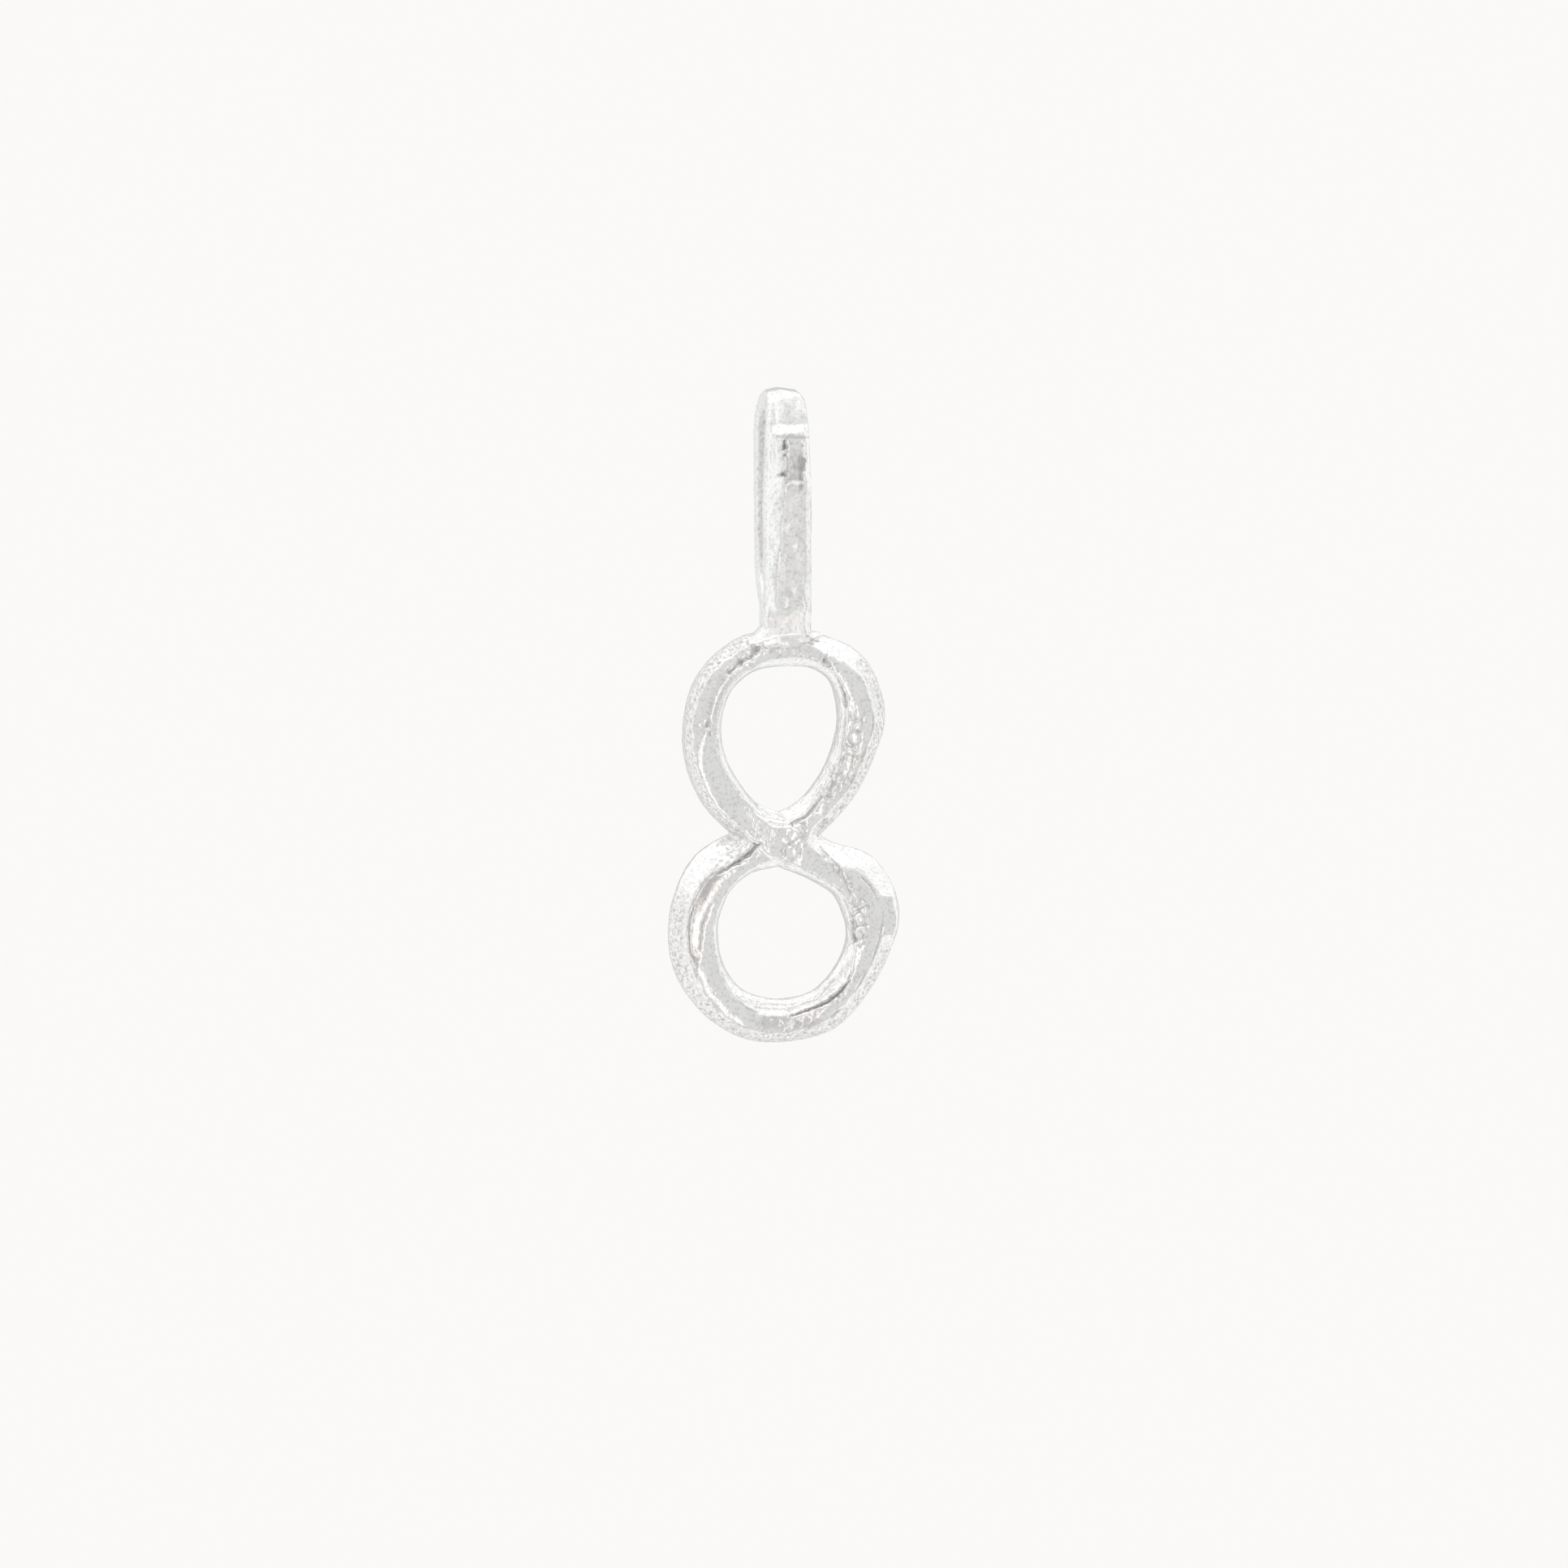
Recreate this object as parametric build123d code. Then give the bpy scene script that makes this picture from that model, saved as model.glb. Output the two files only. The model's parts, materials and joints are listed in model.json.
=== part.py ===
from build123d import *
import os

# A small cast silver charm: a figure eight bent from a round rod, hung from a folded strap bail.
# Millimetres. +Z is up, +X is to the right, and the front faces -Y.
# The origin is the axis of the half-round seat inside the top of the bail, where a chain hangs.

# Driving dimensions
SEAT_R = 0.72            # inner radius of the bail's top fold
STRAP_T = 0.72           # thickness of the strap
STRAP_W = 1.44           # width of the front leg
BACK_W = 1.24            # width of the back leg, a little narrower
CREST_W = 1.10           # width over the top of the fold
FOLD_W = 1.30            # width where the fold ends and the legs begin
TAPER_Z = -1.65          # the front leg reaches its full width here
SLOT_END_Z = -5.1        # bottom of the slot
JOG_TOP_Z = -4.0         # the back leg starts to bend towards the front leg here
LEAN = 0.18              # how far the back leg has leaned in by then
FOOT_Z = -6.42           # the strap's end in front, just below the top of the ring
EDGE_R = 0.06            # softened edges of the strap

SEAM_Z = -6.25           # where the solder meets the ring, at the sides of the bail's foot
SEAM_TOP_Z = -5.7        # top of the solder's fillet on the left
SEAM_REACH = 0.9         # how far that fillet runs out along the ring
SEAM_DEPTH = 1.1         # depth of the fillet, front to back
SEAM_ROOT = 0.5          # how far the fillet goes down into the ring
BEAD_R = (0.24, 0.19, 0.15)      # half sizes of the bead at the right of the foot
LUMP_R = (0.42, 0.20, 0.22)      # half sizes of the lump under the front of the foot
LUMP_X = -0.4

ROD_DEPTH = 1.44         # depth of the figure's rod, front to back
CROSS_STEP = 0.08        # how far each strand stands forward or back of the middle at the crossing

OUTER_R = SEAT_R + STRAP_T
MID_Y = -OUTER_R + ROD_DEPTH / 2      # the figure's mid-plane: its front is flush with the strap

# The rod makes one closed figure, in two strands that meet end to end at its top and its bottom
# and cross at its waist. Each station is x, z and half the rod's width in the plane of the figure.
FRONT_STRAND = [
    (-0.05, -6.62, 0.54),
    (-1.22, -6.80, 0.57),
    (-2.14, -7.55, 0.57),
    (-2.56, -8.68, 0.59),
    (-2.53, -9.85, 0.61),
    (-2.08, -10.95, 0.66),
    (-1.28, -11.85, 0.62),
    (-0.20, -12.50, 0.78),
    (1.12, -13.20, 0.68),
    (2.20, -13.78, 0.86),
    (2.70, -14.80, 0.88),
    (2.58, -15.90, 0.71),
    (2.07, -16.93, 0.67),
    (1.24, -17.79, 0.68),
    (0.60, -18.05, 0.67),
    (0.10, -18.12, 0.67),
]
BACK_STRAND = [
    (0.10, -18.12, 0.67),
    (-0.42, -18.13, 0.68),
    (-0.98, -18.04, 0.69),
    (-1.94, -17.54, 0.68),
    (-2.64, -16.57, 0.74),
    (-2.89, -15.50, 0.77),
    (-2.77, -14.50, 0.76),
    (-2.30, -13.54, 0.76),
    (-1.36, -12.92, 0.70),
    (-0.20, -12.50, 0.78),
    (0.82, -11.80, 0.62),
    (1.63, -10.85, 0.64),
    (2.15, -9.75, 0.68),
    (2.38, -8.65, 0.76),
    (2.01, -7.42, 0.68),
    (1.12, -6.77, 0.55),
    (-0.05, -6.62, 0.54),
]
WAIST = (-0.20, -12.50)


def rod_section(before, station, after, step):
    """The elliptical section at one station, square to the line through its neighbours."""
    x, z, half_width = station
    along = Vector(after[0] - before[0], 0, after[1] - before[1])
    across = along.cross(Vector(0, 1, 0))
    near_waist = max(0, 1 - abs(z - WAIST[1]) / 1.2)
    plane = Plane(origin=(x, MID_Y + step * near_waist, z), x_dir=across, z_dir=along)
    return plane * Ellipse(half_width, ROD_DEPTH / 2)


def strand(stations, previous, following, step):
    """Half of the figure, lofted through its stations and stepped forward or back at the waist."""
    run = [previous] + stations + [following]
    sections = []
    for before, station, after in zip(run, run[1:], run[2:]):
        sections.append(rod_section(before, station, after, step))
    return loft(sections)


def make_figure_eight():
    """Both strands, joined at the top and the bottom, with the front one over at the waist."""
    front = strand(FRONT_STRAND, BACK_STRAND[-2], BACK_STRAND[1], -CROSS_STEP)
    back = strand(BACK_STRAND, FRONT_STRAND[-2], FRONT_STRAND[1], CROSS_STEP)
    return front + back


def strap_profile():
    """The folded strap seen from the side: outer loop and stem, less the slot."""
    stem_back = -OUTER_R + 2 * STRAP_T
    back_y = OUTER_R - LEAN
    slot_y = SEAT_R - LEAN
    slot_middle = -LEAN / 2
    with BuildSketch(Plane.YZ) as side:
        with BuildLine():
            Line((-OUTER_R, FOOT_Z), (-OUTER_R, 0))
            ThreePointArc((-OUTER_R, 0), (0, OUTER_R), (OUTER_R, 0))
            Line((OUTER_R, 0), (back_y, JOG_TOP_Z))
            Bezier(
                (back_y, JOG_TOP_Z),
                (back_y, JOG_TOP_Z - 0.8),
                (stem_back, SLOT_END_Z + 0.3),
                (stem_back, SLOT_END_Z - 0.4),
            )
            Line((stem_back, SLOT_END_Z - 0.4), (stem_back, FOOT_Z))
            Line((stem_back, FOOT_Z), (-OUTER_R, FOOT_Z))
        make_face()
        with BuildLine():
            Line((-SEAT_R, SLOT_END_Z + 0.5), (-SEAT_R, 0))
            ThreePointArc((-SEAT_R, 0), (0, SEAT_R), (SEAT_R, 0))
            Line((SEAT_R, 0), (slot_y, JOG_TOP_Z))
            Bezier(
                (slot_y, JOG_TOP_Z),
                (slot_y, JOG_TOP_Z - 0.6),
                (slot_middle, SLOT_END_Z),
                (-SEAT_R, SLOT_END_Z - 0.3),
                (-SEAT_R, SLOT_END_Z + 0.5),
            )
        make_face(mode=Mode.SUBTRACT)
    return side.sketch


def strap_outline():
    """A solid as wide as the strap at every height, to trim the folded blank to its taper."""
    widths = [
        (FOOT_Z - 0.1, STRAP_W, BACK_W),
        (TAPER_Z, STRAP_W, BACK_W),
        (0, FOLD_W, BACK_W),
        (OUTER_R + 0.01, CREST_W, CREST_W),
    ]
    sections = []
    for z, front, back in widths:
        corners = [
            (-front / 2, -OUTER_R - 0.1),
            (front / 2, -OUTER_R - 0.1),
            (back / 2, OUTER_R + 0.1),
            (-back / 2, OUTER_R + 0.1),
        ]
        sections.append(Plane.XY.offset(z) * make_face(Polyline(corners, close=True)))
    return loft(sections, ruled=True)


def runs_along_strap(edge):
    """True for the edges along the strap's length, and false for those across it and at its foot."""
    return edge.bounding_box().size.Z > 0.01 and edge.center().Z > FOOT_Z + 0.1


def make_bail():
    """The strap, folded, tapered and softened, before it is cut to sit on the ring."""
    blank = extrude(strap_profile(), amount=STRAP_W, both=True)
    strap = blank & strap_outline()
    return fillet(strap.edges().filter_by(runs_along_strap), EDGE_R)


def make_solder_seam():
    """Solder round the foot of the bail: a fillet on the left, a bead on the right, lumps in front."""
    side = -STRAP_W / 2
    reach = side - SEAM_REACH
    middle = (side - 0.24, SEAM_Z + 0.12)
    with BuildSketch(Plane.XZ) as wedge:
        with BuildLine():
            Line((0, SEAM_TOP_Z), (side, SEAM_TOP_Z))
            ThreePointArc((side, SEAM_TOP_Z), middle, (reach, SEAM_Z - 0.1))
            Line((reach, SEAM_Z - 0.1), (reach, SEAM_Z - SEAM_ROOT))
            Line((reach, SEAM_Z - SEAM_ROOT), (0, SEAM_Z - SEAM_ROOT))
            Line((0, SEAM_Z - SEAM_ROOT), (0, SEAM_TOP_Z))
        make_face()
    left_fillet = Pos(0, MID_Y, 0) * extrude(wedge.sketch, amount=SEAM_DEPTH / 2, both=True)
    front_y = -OUTER_R + 0.14
    bead = Pos(STRAP_W / 2 - 0.02, front_y, SEAM_Z - 0.08) * scale(Sphere(1), by=BEAD_R)
    lump = Pos(LUMP_X, front_y, FOOT_Z - 0.04) * scale(Sphere(1), by=LUMP_R)
    return left_fillet + bead + lump


figure_eight = make_figure_eight()
bail = make_bail() - figure_eight
solder_seam = make_solder_seam() - figure_eight - bail

os.makedirs("parts", exist_ok=True)
export_step(figure_eight, "parts/figure_eight.step")
export_step(bail, "parts/bail.step")
export_step(solder_seam, "parts/solder_seam.step")
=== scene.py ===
import json
import math

import bmesh
import bpy
import numpy as np
from mathutils import Matrix, Vector, noise


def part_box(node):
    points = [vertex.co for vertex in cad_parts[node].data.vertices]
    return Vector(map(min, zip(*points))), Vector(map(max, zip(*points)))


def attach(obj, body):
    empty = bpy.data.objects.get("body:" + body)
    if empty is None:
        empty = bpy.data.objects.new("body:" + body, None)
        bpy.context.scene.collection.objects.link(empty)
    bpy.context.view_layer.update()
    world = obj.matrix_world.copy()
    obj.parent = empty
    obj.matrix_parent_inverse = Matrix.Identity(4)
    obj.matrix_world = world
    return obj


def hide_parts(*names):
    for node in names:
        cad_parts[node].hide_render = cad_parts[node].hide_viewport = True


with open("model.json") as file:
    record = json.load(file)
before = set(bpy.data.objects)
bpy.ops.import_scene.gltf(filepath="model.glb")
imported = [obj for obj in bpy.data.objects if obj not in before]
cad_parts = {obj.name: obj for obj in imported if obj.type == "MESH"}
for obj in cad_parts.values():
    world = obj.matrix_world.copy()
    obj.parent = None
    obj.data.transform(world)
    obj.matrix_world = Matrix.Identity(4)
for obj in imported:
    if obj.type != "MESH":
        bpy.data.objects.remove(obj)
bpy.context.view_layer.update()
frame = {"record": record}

# A small cast silver charm: a figure eight of round rod under a long bail folded from a strap.
# Shapes are made in millimetres, in the frame of the CAD model, and stored in metres.
MM = 0.001

noise.seed_set(3)     # fixes the offsets of noise_vector, which are random until a seed is set


def box_mm(node):
    """A CAD node's low and high corners, in millimetres."""
    low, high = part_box(node)
    return Vector(low) / MM, Vector(high) / MM


figure_low, figure_high = box_mm("figure_eight")
bail_low, bail_high = box_mm("bail")
seam_low, seam_high = box_mm("solder_seam")
seat_r = frame["record"]["mounts"][0]["dims"]["r_mm"]

OUTER_R = bail_high.z                 # outer radius of the bail's fold, about the frame's origin
STRAP_T = OUTER_R - seat_r            # thickness of the strap
STRAP_W = bail_high.x - bail_low.x    # width of the front leg
FOOT_Z = bail_low.z                   # where the strap ends, at the top of the ring
ROD_D = STRAP_T                       # half the depth of the rod, front to back
MID_Y = -OUTER_R + ROD_D              # mid-plane of the figure


# ---------------------------------------------------------------- mesh helpers

def closed_spline(points, count):
    """A smooth closed run through rows of values, sampled evenly between rows."""
    rows = np.array(points, float)
    total = len(rows)
    out = []
    for i in range(count):
        t = i / count * total
        k = int(t)
        f = t - k
        p0, p1, p2, p3 = (rows[(k + j - 1) % total] for j in range(4))
        out.append(
            0.5 * (2 * p1 + (p2 - p0) * f + (2 * p0 - 5 * p1 + 4 * p2 - p3) * f * f
                   + (3 * p1 - p0 - 3 * p2 + p3) * f ** 3)
        )
    return np.array(out)


def ease(low, high, value):
    """0 below low, 1 above high and a smooth step between."""
    t = min(max((value - low) / (high - low), 0.0), 1.0)
    return t * t * (3 - 2 * t)


def swing(f):
    """From 0 to 1 along half a cosine wave, the gentlest of bends."""
    return 0.5 - 0.5 * math.cos(math.pi * f)


def skin_mesh(name, rings, closed):
    """A mesh over rings of points. Open runs are capped at both ends."""
    count, around = len(rings), len(rings[0])
    verts = [tuple(p) for ring in rings for p in ring]
    faces = []
    for i in range(count if closed else count - 1):
        a, b = i * around, (i + 1) % count * around
        for j in range(around):
            k = (j + 1) % around
            faces.append((a + j, a + k, b + k, b + j))
    if not closed:
        faces.append(tuple(range(around - 1, -1, -1)))
        faces.append(tuple(range((count - 1) * around, count * around)))
    mesh = bpy.data.meshes.new(name)
    mesh.from_pydata(verts, [], faces)
    work = bmesh.new()
    work.from_mesh(mesh)
    bmesh.ops.recalc_face_normals(work, faces=work.faces)
    work.to_mesh(mesh)
    work.free()
    return mesh


def new_object(name, mesh):
    obj = bpy.data.objects.new(name, mesh)
    bpy.context.scene.collection.objects.link(obj)
    return obj


def applied(obj):
    """Replace an object's mesh with its evaluated one and drop its modifiers."""
    graph = bpy.context.evaluated_depsgraph_get()
    graph.update()
    mesh = bpy.data.meshes.new_from_object(obj.evaluated_get(graph))
    obj.modifiers.clear()
    obj.data = mesh


def remesh(obj, voxel, smooth_rounds):
    """One closed skin over everything in the object, lightly smoothed."""
    mod = obj.modifiers.new("skin", "REMESH")
    mod.mode = "VOXEL"
    mod.voxel_size = voxel
    mod.use_smooth_shade = True
    soft = obj.modifiers.new("soft", "SMOOTH")
    soft.factor = 0.5
    soft.iterations = smooth_rounds
    applied(obj)


BLOB_RINGS, BLOB_AROUND = 22, 36
BLOB_UNEVEN = 0.10


def blob(centre, reach, flat=1.0, lean=0.0):
    """A rounded, slightly uneven lump. Flat under 1 squares it off from front to back, and lean
    slopes its front backwards."""
    rows = []
    for i in range(BLOB_RINGS + 1):
        polar = math.pi * (i + 0.02) / (BLOB_RINGS + 0.04)
        row = []
        for j in range(BLOB_AROUND):
            turn = 2 * math.pi * j / BLOB_AROUND
            x, y = math.sin(polar) * math.cos(turn), math.sin(polar) * math.sin(turn)
            unit = Vector((x, math.copysign(abs(y) ** flat, y), math.cos(polar)))
            swell = 1 + BLOB_UNEVEN * noise.noise(unit * 1.7 + Vector(centre))
            place = Vector(unit[k] * reach[k] * swell for k in range(3))
            place.y += lean * place.z
            row.append(Vector(centre) + place)
        rows.append(row)
    return rows


def join(obj, others):
    """Put the other objects' meshes into this one."""
    with bpy.context.temp_override(active_object=obj, selected_editable_objects=[obj] + others):
        bpy.ops.object.join()


def positions(mesh):
    co = np.empty(len(mesh.vertices) * 3)
    mesh.vertices.foreach_get("co", co)
    return co.reshape(-1, 3)


def normals(mesh):
    no = np.empty(len(mesh.vertices) * 3)
    mesh.vertex_normals.foreach_get("vector", no)
    return no.reshape(-1, 3)


def noise_field(co, scale, seed):
    """Smooth noise, about -1 to 1, at every point. Scale is in bumps per millimetre."""
    shift = Vector((seed * 3.1, seed * 1.7, seed * 5.3))
    return np.array([noise.noise(Vector(p) * scale + shift) for p in co])


def nugget_field(co, scale, seed):
    """Lumps side by side: how high each point is on its own dome, and how near it is to a seam."""
    shift = Vector((seed * 2.3, seed * 4.1, seed * 1.9))
    found = []
    for p in co:
        place = Vector(p) * scale
        place += noise.noise_vector(place * 0.7 + shift) * 0.6
        found.append(noise.voronoi(place + shift)[0][:2])
    near, second = np.array(found).T
    return 1 - np.minimum(near / 0.6, 1) ** 4, 1 - fade(0.0, 0.22, second - near)


def fade(low, high, values):
    """0 below low, 1 above high and a smooth step between, for an array."""
    t = np.clip((values - low) / (high - low), 0, 1)
    return t * t * (3 - 2 * t)


def near_line(co, line):
    """Distance, seen from the front, from a line of (x, z, reach) points, as a share of its reach."""
    flat = co[:, (0, 2)]
    best = np.full(len(flat), 1e9)
    for start, end in zip(line, line[1:] or line):
        run = np.array(end[:2]) - np.array(start[:2])
        t = np.clip((flat - start[:2]) @ run / max(run @ run, 1e-9), 0, 1)
        gap = np.linalg.norm(flat - start[:2] - t[:, None] * run, axis=1)
        best = np.minimum(best, gap / (start[2] + (end[2] - start[2]) * t))
    return best


def displace(obj, lift, cut, **layers):
    """Move points along their normals by lift and backwards by cut, and keep layers for the material."""
    mesh = obj.data
    co, no = positions(mesh), normals(mesh)
    co += no * lift[:, None]
    co[:, 1] += cut
    mesh.vertices.foreach_set("co", co.ravel())
    mesh.update()
    for name, values in layers.items():
        layer = mesh.attributes.new(name, "FLOAT", "POINT")
        layer.data.foreach_set("value", np.clip(values, 0, 1))


def finish_piece(obj, node, material):
    """Bring a piece to metres, shade it smooth, give it its material, put it under the root body and
    hide the CAD node it stands for.
    """
    obj.data.transform(Matrix.Scale(MM, 4))
    for poly in obj.data.polygons:
        poly.use_smooth = True
    obj.data.materials.clear()
    obj.data.materials.append(material)
    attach(obj, "root")
    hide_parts(node)


# ---------------------------------------------------------------- the figure eight

WAIST = Vector((-0.2, 0.0, -12.5))

# One closed run of the rod. Each row is x, z, half the width, and then four places across the
# front in half widths, counted outwards: where the inner bevel starts, the crown, where the outer
# bevel starts, how round the crown is. Then the tilt in degrees of the facet outside the crown.
ROD = [
    (-0.05, -6.62, 0.54, -0.45, 0.00, 0.84, 0.05, 8),
    (-1.22, -6.80, 0.57, -0.62, -0.32, 0.48, 0.02, 14),
    (-2.14, -7.55, 0.57, -0.62, -0.30, 0.60, 0.03, 15),
    (-2.56, -8.68, 0.59, -0.62, -0.26, 0.66, 0.03, 15),
    (-2.53, -9.85, 0.61, -0.62, 0.26, 0.66, 0.18, 15),
    (-2.08, -10.95, 0.66, -0.66, 0.46, 0.67, 0.14, 14),
    (-1.28, -11.85, 0.62, -0.68, 0.56, 0.58, 0.02, 4),
    (-0.20, -12.50, 0.78, -0.70, 0.00, 0.70, 0.20, 1),
    (1.12, -13.20, 0.68, -0.75, -0.70, 0.08, 0.02, 4),
    (2.20, -13.78, 0.86, -0.82, -0.48, 0.16, 0.05, 9),
    (2.70, -14.80, 0.88, -0.84, -0.28, 0.26, 0.30, 9),
    (2.58, -15.90, 0.71, -0.76, -0.32, 0.20, 0.26, 10),
    (2.07, -16.93, 0.67, -0.38, -0.18, 0.20, 0.12, 9),
    (1.24, -17.79, 0.68, -0.36, -0.10, 0.26, 0.20, 9),
    (0.10, -18.12, 0.67, -0.34, 0.34, 0.40, 0.03, 7),
    (-0.98, -18.04, 0.69, -0.32, 0.40, 0.46, 0.03, 7),
    (-1.94, -17.54, 0.68, -0.48, 0.08, 0.45, 0.35, 14),
    (-2.64, -16.57, 0.74, -0.70, -0.06, 0.32, 0.25, 14),
    (-2.89, -15.50, 0.77, -0.68, -0.26, 0.28, 0.55, 13),
    (-2.77, -14.50, 0.76, -0.72, -0.36, 0.32, 0.50, 15),
    (-2.30, -13.54, 0.76, -0.78, -0.48, 0.12, 0.44, 22),
    (-1.36, -12.92, 0.70, -0.72, -0.50, -0.15, 0.30, 20),
    (-0.20, -12.50, 0.78, -0.60, 0.00, 0.60, 0.20, 1),
    (0.82, -11.80, 0.62, -0.48, 0.06, 0.24, 0.20, 9),
    (1.63, -10.85, 0.64, -0.66, 0.16, 0.30, 0.20, 9),
    (2.15, -9.75, 0.68, -0.80, 0.12, 0.30, 0.20, 9),
    (2.38, -8.65, 0.76, -0.80, -0.12, 0.32, 0.28, 9),
    (2.01, -7.42, 0.68, -0.72, -0.36, 0.13, 0.20, 9),
    (1.12, -6.77, 0.55, -0.60, -0.45, 0.00, 0.06, 9),
]
ROD_SAMPLES = 560
ROD_AROUND = 96
INNER_TILT = 9         # degrees that the facet inside the crown falls away
INNER_FADE = (0.6, 2.4)        # how far from the waist that tilt starts and is full
BEVEL_CURVE = 1.10     # how quickly a bevel turns away where it starts
BEVEL_ROUND = 1.7      # how round it is where it meets the side
RAGGED = 0.10          # how far the bevels' edges wander, in half widths
RAGGED_SCALE = 3.5     # bumps per millimetre
BACK_POWER = 2.3       # 2 is an ellipse, more is squarer
UNDER_DIP = 0.10       # how far the strand that passes under sits back at the waist
UNDER_FADE = (0.2, 1.8)        # how far from the waist that starts to fade and is gone
FLAT_SPAN = (-15.46, -14.38)   # a flat struck into the outer side of the lower ring, at the right
FLAT_EDGE = 0.78       # where the outer bevel starts beside that flat, in half widths
# The web, metal that fills the crossing: how far it is right of and above the waist, its reach
# sideways and upwards, and how square it is from front to back.
WEB_AT = (0.22, 0.02)
WEB_REACH = (0.92, 0.72)
WEB_FLAT = 0.45
FIGURE_VOXEL = 0.047   # grid that the skin is made on


def front_height(across, low, crown, high, tilts, soft, half):
    """Height of the rod's front, 0 to 1, at a place from -1 to 1 across it."""
    def facet(place):
        fall = math.tan(math.radians(tilts[1] if place > crown else tilts[0])) * half / ROD_D
        return 1 - fall * (math.hypot(place - crown, soft) - soft)
    if low <= across <= high:
        return facet(across)
    edge, side = (high, 1) if across > high else (low, -1)
    t = (across - edge) / (side - edge)
    return facet(edge) * max(0.0, 1 - t ** BEVEL_CURVE) ** (1 / BEVEL_ROUND)


def rod_ring(row, along, under):
    """One section of the rod, square to its run."""
    x, z, half, inner, crown, outer, soft, tilt = row
    from_waist = (Vector((x, 0, z)) - WAIST).length
    if x > 0:
        struck = ease(FLAT_SPAN[0] - 0.03, FLAT_SPAN[0] + 0.03, z)
        struck *= 1 - ease(FLAT_SPAN[1] - 0.15, FLAT_SPAN[1] + 0.10, z)
        outer += (FLAT_EDGE - outer) * struck
    ragged = noise.noise(Vector((x, 0, z)) * RAGGED_SCALE) * RAGGED
    inner, outer = inner + ragged, outer - ragged
    across_dir = along.cross(Vector((0, 1, 0))).normalized()
    # Outwards is to the left of the run above the waist, and to its right below.
    side = ease(-0.5, 0.5, WAIST.z - z)
    low = -outer + (inner + outer) * side
    high = -inner + (outer + inner) * side
    inner_tilt = INNER_TILT * ease(*INNER_FADE, from_waist)
    tilts = (tilt + (inner_tilt - tilt) * side, inner_tilt + (tilt - inner_tilt) * side)
    crown *= side * 2 - 1
    centre = Vector((x, MID_Y, z))
    if under:
        centre.y += UNDER_DIP * (1 - ease(*UNDER_FADE, from_waist))
    ring = []
    for j in range(ROD_AROUND):
        angle = 2 * math.pi * j / ROD_AROUND
        across = math.cos(angle)
        if angle < math.pi:
            depth = front_height(across, low, crown, high, tilts, soft, half)
        else:
            depth = -max(0.0, 1 - abs(across) ** BACK_POWER) ** (1 / BACK_POWER)
        ring.append(centre + across_dir * across * half + Vector((0, -1, 0)) * depth * ROD_D)
    return ring


def make_figure():
    """The rod swept round its run, with the web at its crossing, in one skin."""
    run = closed_spline(ROD, ROD_SAMPLES)
    rings = []
    for i, row in enumerate(run):
        ahead, behind = run[(i + 1) % ROD_SAMPLES], run[i - 1]
        along = Vector((ahead[0] - behind[0], 0, ahead[1] - behind[1])).normalized()
        rings.append(rod_ring(row, along, i > ROD_SAMPLES / 2))
    obj = new_object("figure_eight_cast", skin_mesh("figure_eight_cast", rings, True))
    centre = (WAIST.x + WEB_AT[0], MID_Y, WAIST.z + WEB_AT[1])
    web = blob(centre, (WEB_REACH[0], ROD_D * 0.97, WEB_REACH[1]), WEB_FLAT)
    join(obj, [new_object("web", skin_mesh("web", web, False))])
    remesh(obj, FIGURE_VOXEL, 3)
    sculpt_figure(obj)
    return obj


# Marks on the front. Each is a line of (x, z, reach) points, then how high or deep it is and how
# dark it is painted. The dark in the seams between nuggets and in grooves and pits is painted shade.
NUGGETS = [
    ([(1.02, -11.24, 0.30), (1.42, -10.79, 0.36), (1.82, -10.14, 0.36), (2.07, -9.24, 0.28),
      (2.14, -8.64, 0.24)], 0.05, 0.45),
    ([(0.32, -12.09, 0.30), (0.12, -12.54, 0.36), (-0.03, -13.04, 0.30)], 0.055, 0.42),
    ([(2.22, -14.49, 0.28), (2.24, -15.54, 0.28)], 0.08, 0.50),
    ([(0.77, -17.84, 0.16), (1.37, -17.44, 0.18)], 0.03, 0.40),
    ([(-0.52, -6.52, 0.22), (-0.15, -6.70, 0.22)], 0.03, 0.30),
    ([(-2.88, -15.89, 0.15), (-2.83, -16.29, 0.15)], 0.03, 0.40),
    ([(1.05, -12.95, 0.12), (1.65, -13.55, 0.16), (1.95, -14.00, 0.14)], 0.04, 0.45),
]
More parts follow.
